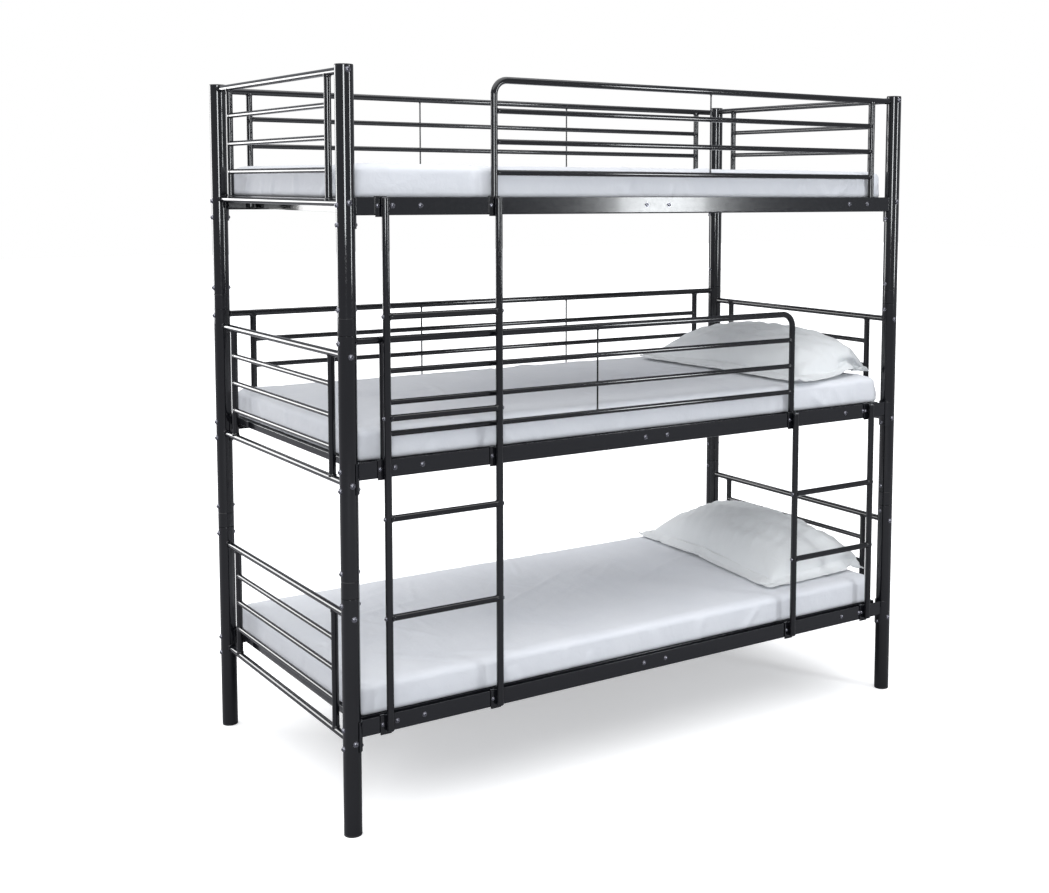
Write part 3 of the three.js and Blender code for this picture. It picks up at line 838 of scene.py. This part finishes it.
def softened(points, low, high, under, over):
    """Pulls a box's points onto rounded edges: with c the point clamped to the box shrunk by the
    radii and d = (p - c) / radii, the new point is c + radii * d / |d|. The radii run from under
    at the bottom to over at the top. Also returns normals."""
    level = ((points[:, 2] - low[2]) / (high[2] - low[2]))[:, None]
    radii = under + (over - under) * level
    core = np.clip(points, low + radii, high - radii)
    d = (points - core) / radii
    d /= np.linalg.norm(d, axis=1, keepdims=True)
    normal = d / radii
    return core + radii * d, normal / np.linalg.norm(normal, axis=1, keepdims=True)


def crease_height(points, starts, ends, widths, heights):
    """The sum over creases of height * exp(-(distance / width)^2), where distance is from the
    point to the crease's line, which fades to nothing over a fifth of its length at each end."""
    total = np.zeros(len(points))
    for start, end, width, height in zip(starts, ends, widths, heights):
        along = end - start
        t = np.clip((points - start) @ along / (along @ along), 0, 1)
        away = np.linalg.norm(points - (start + t[:, None] * along), axis=1)
        fade = np.clip(np.minimum(t, 1 - t) / 0.2, 0, 1)
        total += height * np.exp(-(away / width) ** 2) * fade * fade * (3 - 2 * fade)
    return total


def swell(points, sizes, height, seed):
    """A gentle rolling of the surface: a sum of sines with seeded directions and phases."""
    chance = np.random.default_rng(seed)
    total = np.zeros(len(points))
    for size in sizes:
        way = chance.normal(size=3)
        way /= np.linalg.norm(way)
        total += np.sin(2 * np.pi * (points @ way) / size + chance.uniform(0, 6.28))
    return height * total / len(sizes)


print("a lattice box has", len(lattice_box([0, 0, 0], [1, 1, 1], 0.1)[0]), "points at 10 cells a side")

# %% Cover the three mattresses
EDGE_UNDER, EDGE_OVER = np.array([20, 20, 8]) * MM, np.array([34, 34, 20]) * MM
SHEET_HEM = 55 * MM
SHEET_LIFT = 1.6 * MM
PAD_STEP, SHEET_STEP = 20 * MM, 8 * MM
LOWEST, HIGHEST = -1.2 * MM, 5 * MM          # how far creases may move the cloth
CREASE_ROOM = np.array([3, 3.5, 0]) * MM     # the sides stand back, so that none meets a guard rail


def sheet_creases(low, high, seed, top_count, side_count, side_depth):
    """Long shallow creases on top, run mostly across the bed, and short steep ones on the
    sides, which start at the tucked edge."""
    chance = np.random.default_rng(seed)
    starts, ends, widths, heights = [], [], [], []
    for _ in range(top_count):
        middle = np.array([chance.uniform(low[0], high[0]), chance.uniform(low[1], high[1]), high[2]])
        heading = chance.normal(chance.choice([0.45, 1.2, 2.2]), 0.35)
        half = chance.uniform(0.07, 0.3) * np.array([math.cos(heading), math.sin(heading), 0])
        starts.append(middle - half)
        ends.append(middle + half)
        widths.append(chance.uniform(6, 16) * MM)
        heights.append(chance.uniform(1.2, 3.6) * MM * chance.choice([1, -0.6]))
    for _ in range(side_count):
        lean = chance.normal(0, 0.05)
        side = chance.choice(4, p=[0.35, 0.35, 0.15, 0.15])
        along = chance.uniform(low[0], high[0]) if side < 2 else chance.uniform(low[1], high[1])
        rise = chance.uniform(0.5, 1.05) * (high[2] - low[2])
        if side < 2:
            y = (low[1], high[1])[side]
            starts.append(np.array([along, y, low[2] - 20 * MM]))
            ends.append(np.array([along + lean, y, low[2] + rise]))
        else:
            x = (low[0], high[0])[side - 2]
            starts.append(np.array([x, along, low[2] - 20 * MM]))
            ends.append(np.array([x, along + lean, low[2] + rise]))
        widths.append(chance.uniform(6, 15) * MM)
        heights.append(chance.uniform(0.8, 1.0) * side_depth * chance.choice([1, -0.5]))
    return starts, ends, widths, heights


TIER_SHEETS = {"bottom": (11, 46, 52, 3.5 * MM), "middle": (23, 50, 56, 4 * MM),
               "top": (37, 60, 80, 5.5 * MM)}
for tier, (seed, top_count, side_count, side_depth) in TIER_SHEETS.items():
    node = f"mattress_{tier}"
    low, high = corners(node)
    low, high = low + CREASE_ROOM, high - CREASE_ROOM
    pad_low, pad_high = low + SHEET_LIFT, high - SHEET_LIFT
    points, quads = lattice_box(pad_low, pad_high, PAD_STEP)
    points, _ = softened(points, pad_low, pad_high, EDGE_UNDER, EDGE_OVER)
    pad = make(node + "_foam", [(points, quads.tolist())], TICKING, node, [node], smooth=180)

    points, quads = lattice_box(low, high, SHEET_STEP, hem=SHEET_HEM)
    points, normal = softened(points, low, high, EDGE_UNDER, EDGE_OVER)
    lift = crease_height(points, *sheet_creases(low, high, seed, top_count, side_count, side_depth))
    lift += swell(points, [0.9, 0.62, 0.4, 0.27, 0.19], 1.6 * MM, seed)
    lift += swell(points, [0.13, 0.094, 0.071, 0.055], 1.0 * MM, seed + 1)
    lift *= np.where(normal[:, 2] < -0.5, 0.15, 1.0)
    points = points + np.clip(lift, LOWEST, HIGHEST)[:, None] * normal
    sheet = make(node + "_sheet", [(points, quads.tolist())], SHEET_COTTON, node,
                 [node], smooth=180)
    cloth = sheet.modifiers.new("cloth thickness", "SOLIDIFY")
    cloth.thickness, cloth.offset = 0.8 * MM, -1

# %% [markdown]
# ## Pillows
#
# A pillow is two panels of cotton sewn round a fat filling, with a flat border of double cloth
# outside the seam. It is best left to cloth simulation: two flat layers joined at their outer
# edge, a row of stitches that pulls them together along the seam, and air pressure inside the
# seam only. It drops on the mattress and slumps against the end frame, and the gathers along the
# seam form by themselves.

# %% Two panels and a row of stitches
PILLOW_WIDE, PILLOW_LONG = 0.50, 0.87
BORDER = 46 * MM
PANEL_STEP = 10 * MM


def pillow_panels(seed, thick=4 * MM, crown=95 * MM, belly=25 * MM):
    """Two grids of points (u, v, w) that share their outer edge: w is +-(thick / 2) on the
    border, and inside the seam the upper one rises by crown * (1 - p^4) * (1 - q^4) and the
    lower one sinks by belly times the same, where p and q run from -1 to 1 between seams. A
    swell bends both alike and another crumples the upper one, so that it has cloth to spare.
    Returns points, quads, the stitches and which points the filling presses on."""
    n, m = round(PILLOW_WIDE / PANEL_STEP), round(PILLOW_LONG / PANEL_STEP)
    u, v = np.meshgrid(np.linspace(-0.5, 0.5, n) * PILLOW_WIDE, np.linspace(-0.5, 0.5, m) * PILLOW_LONG,
                       indexing="ij")
    seam_u, seam_v = PILLOW_WIDE / 2 - BORDER, PILLOW_LONG / 2 - BORDER
    p, q = u / seam_u, v / seam_v
    inside = np.clip(1 - np.abs(p) ** 4, 0, 1) * np.clip(1 - np.abs(q) ** 4, 0, 1)
    rim = np.zeros((n, m), bool)
    rim[[0, -1], :] = rim[:, [0, -1]] = True
    front = np.stack([u, v, np.where(rim, 0, thick / 2 + crown * inside)], axis=-1).reshape(-1, 3)
    back = np.stack([u, v, np.where(rim, 0, -thick / 2 - belly * inside)], axis=-1).reshape(-1, 3)
    flat = back * [1, 1, 0]
    crumple = swell(flat, [0.17, 0.12, 0.083, 0.061, 0.047], 15 * MM, seed + 50) * inside.reshape(-1)
    wave = swell(flat, [0.31, 0.2, 0.13, 0.094], 9 * MM, seed)
    front[:, 2] += wave + crumple
    back[:, 2] += wave
    number = np.arange(n * m).reshape(n, m)
    back_of = np.where(rim, number, 0)
    back_of[~rim] = n * m + np.arange((~rim).sum())
    points = np.vstack([front, back[(~rim).reshape(-1)]])
    quads = [np.stack([g[:-1, :-1], g[1:, :-1], g[1:, 1:], g[:-1, 1:]], axis=-1).reshape(-1, 4)
             for g in (number, back_of)]
    quads = np.vstack([quads[0], quads[1][:, ::-1]])
    half_u, half_v = PILLOW_WIDE / (n - 1) / 2, PILLOW_LONG / (m - 1) / 2
    across = (np.abs(np.abs(u) - seam_u) < half_u) & (np.abs(v) < seam_v + half_v)
    along = (np.abs(np.abs(v) - seam_v) < half_v) & (np.abs(u) < seam_u + half_u)
    stitches = np.stack([number[across | along], back_of[across | along]], axis=1)
    filled = np.zeros(len(points))
    soft = (np.abs(p) < 1) & (np.abs(q) < 1)
    filled[number[soft]] = 1
    filled[back_of[soft]] = 1
    return points, quads, stitches, filled


# %% Drop a pillow
PILLOW_MASS = 0.025
PILLOW_FRAMES = 42
PUSH, SETTLE_FRAMES = 170 * MM, 12     # how far the wall moves in, and the still time after it


def dropped_pillow(name, tier, middle, turn_deg, tilt_deg, pressure, seed):
    """Simulates a pillow on its mattress and returns its points and quads. It starts turned
    about Z by turn_deg and tipped up towards the end by tilt_deg, and a wall that closes in to
    the end frame pushes it up into place, as a hand would push it against the bars."""
    points, quads, stitches, filled = pillow_panels(seed)
    turn, tilt = math.radians(turn_deg), math.radians(tilt_deg)
    tip = np.array([[math.cos(tilt), 0, -math.sin(tilt)], [0, 1, 0], [math.sin(tilt), 0, math.cos(tilt)]])
    spin = np.array([[math.cos(turn), -math.sin(turn), 0], [math.sin(turn), math.cos(turn), 0], [0, 0, 1]])
    points = points @ tip.T @ spin.T + middle
    mesh = bpy.data.meshes.new(name + "_cloth")
    mesh.from_pydata(points.tolist(), stitches.tolist(), quads.tolist())
    cloth = placed(name + "_cloth", mesh)
    cloth.vertex_groups.new(name="filling").add(np.flatnonzero(filled).tolist(), 1.0, "REPLACE")

    low, high = corners(f"mattress_{tier}")
    frame_low, _ = corners(f"end_frame_right_{tier}")
    stops = []
    for k, (a, b) in enumerate((([-1, -1, low[2]], [1.2, 1, high[2] + 1 * MM]),
                                ([frame_low[0] - 1 * MM, -1, low[2]], [1.2, 1, high[2] + 0.6]))):
        wall_mesh = bpy.data.meshes.new(f"{name}_stop{k}")
        wall_mesh.from_pydata(slab(a, b)[0].tolist(), [], outward(*slab(a, b)))
        stop = placed(f"{name}_stop{k}", wall_mesh)
        stop.modifiers.new("stop", "COLLISION")
        stop.collision.thickness_outer = 3 * MM
        stop.collision.cloth_friction = 12
        stops.append(stop)
    for k, away in ((1, PUSH), (PILLOW_FRAMES - SETTLE_FRAMES, 0)):
        stops[1].location.x = away
        stops[1].keyframe_insert("location", frame=k)

    sim = cloth.modifiers.new("cloth", "CLOTH")
    settings = sim.settings
    settings.quality = 6
    settings.mass = PILLOW_MASS
    settings.tension_stiffness = settings.compression_stiffness = 25
    settings.shear_stiffness = 8
    settings.bending_stiffness = 0.08
    settings.air_damping = 2
    settings.use_sewing_springs = True
    settings.sewing_force_max = 20
    settings.use_pressure = True
    settings.uniform_pressure_force = pressure
    settings.vertex_group_pressure = "filling"
    sim.collision_settings.distance_min = 3 * MM
    sim.collision_settings.collision_quality = 3
    sim.point_cache.frame_start, sim.point_cache.frame_end = 1, PILLOW_FRAMES
    for k in range(1, PILLOW_FRAMES + 1):
        scene.frame_set(k)
    shape = cloth.evaluated_get(bpy.context.evaluated_depsgraph_get()).to_mesh()
    settled = np.empty(len(points) * 3)
    shape.vertices.foreach_get("co", settled)
    for thing in (cloth, *stops):
        bpy.data.objects.remove(thing)
    scene.frame_set(1)
    return settled.reshape(-1, 3), quads


PILLOW_DROP = 70 * MM
PILLOWS = {"bottom": (0.82, 0.01, -8, 10, 5.6, 3), "middle": (0.83, -0.03, 4, 3, 4.6, 8)}
for tier, (x, y, turn_deg, tilt_deg, pressure, seed) in PILLOWS.items():
    node = f"pillow_{tier}"
    low, high = corners(f"mattress_{tier}")
    middle = np.array([x, y + (low[1] + high[1]) / 2, high[2] + PILLOW_DROP])
    points, quads = dropped_pillow(node, tier, middle, turn_deg, tilt_deg, pressure, seed)
    case = make(node + "_case", [(points, quads.tolist())], PILLOW_COTTON, node,
                [node], smooth=180)
    finer = case.modifiers.new("finer", "SUBSURF")
    finer.levels = finer.render_levels = 1
    print(node, "from", np.round(points.min(axis=0), 3), "to", np.round(points.max(axis=0), 3))

# %% [markdown]
# ## Studio
#
# A pale floor and soft white light. Gloss black tube shows only what it reflects, so soft boxes at
# the front left and right draw the bright lines down the posts, and one behind keeps the back from
# going dull. A very wide light overhead, like an overcast sky, lights the bedding and the tops of
# the rails.

# %% Floor and light
floor_mesh = bpy.data.meshes.new("floor")
floor_mesh.from_pydata([(-30, -30, 0), (30, -30, 0), (30, 30, 0), (-30, 30, 0)], [], [(0, 1, 2, 3)])
floor = placed("floor", floor_mesh)
PAPER, tree, shader, place = surface("pale_studio_paper_with_painted_glow")
seen = add(tree, "LightPath").outputs["Is Camera Ray"]
# Painted light: the eye sees this paper near white, while bounced light and reflections see it mid grey.
paper = add(tree, "MixRGB", Fac=seen, Color1=linear("8c8c90"), Color2=linear("f6f6f6"))
tree.links.new(paper.outputs[0], shader.inputs["Base Color"])
# A painted glow, for the eye only, that lifts the shadows on the floor.
lift = add(tree, "Math", {"operation": "MULTIPLY"}, i0=seen, i1=0.3)
tree.links.new(lift.outputs[0], shader.inputs["Emission Strength"])
shader.inputs["Emission Color"].default_value = (1, 1, 1, 1)
shader.inputs["Roughness"].default_value = 0.9
shader.inputs["Specular IOR Level"].default_value = 0.1
floor_mesh.materials.append(PAPER)

# The eye sees plain white beyond the bed; what lights it and mirrors in it is dimmer and cooler,
# as if black cloths hung outside the picture. The floor's paper is treated in the same way: the eye
# sees it near white with a painted glow that lifts its shadows, while the light it throws back and
# its reflection in the tubes are painted mid grey.
world = bpy.data.worlds.new("studio")
scene.world = world
world.use_nodes = True
tree = world.node_tree
seen = add(tree, "LightPath").outputs["Is Camera Ray"]
walls = add(tree, "MixRGB", Fac=seen, Color1=(0.38, 0.39, 0.415, 1), Color2=(1, 1, 1, 1))
tree.links.new(walls.outputs[0], tree.nodes["Background"].inputs["Color"])
scene.view_settings.view_transform = "Standard"

TARGET = np.array([0, 0, 1.0])
COOL = (0.95, 0.98, 1.0)


def soft_box(name, azimuth, elevation, distance, width, height, watts, colour=(1, 1, 1)):
    """A rectangular light at that bearing from the bed, facing it. Bearing 0 is straight in
    front, and bearings grow towards the bed's right."""
    a, e = math.radians(azimuth), math.radians(elevation)
    back = np.array([math.sin(a) * math.cos(e), -math.cos(a) * math.cos(e), math.sin(e)])
    lamp = bpy.data.lights.new(name, "AREA")
    lamp.shape, lamp.size, lamp.size_y, lamp.energy, lamp.color = "RECTANGLE", width, height, watts, colour
    x = np.cross(UP, back)
    x /= np.linalg.norm(x)
    placed(name, lamp).matrix_world = facing(x, np.cross(back, x), back, TARGET + distance * back)


soft_box("strip_by_camera", -33, 10, 6.0, 1.2, 1.3, 85, COOL)
soft_box("strip_right", 33, 10, 4.5, 0.5, 1.3, 42, COOL)
soft_box("back_left", -145, 8, 5.0, 2.0, 1.6, 65)
soft_box("front_fill", -10, 35, 6.5, 3.0, 2.0, 8)
sky = bpy.data.lights.new("overhead", "SUN")
sky.energy, sky.angle = 3.3, math.radians(100)
placed("overhead", sky).rotation_euler = (0, math.radians(-14), 0)
print("studio ready")
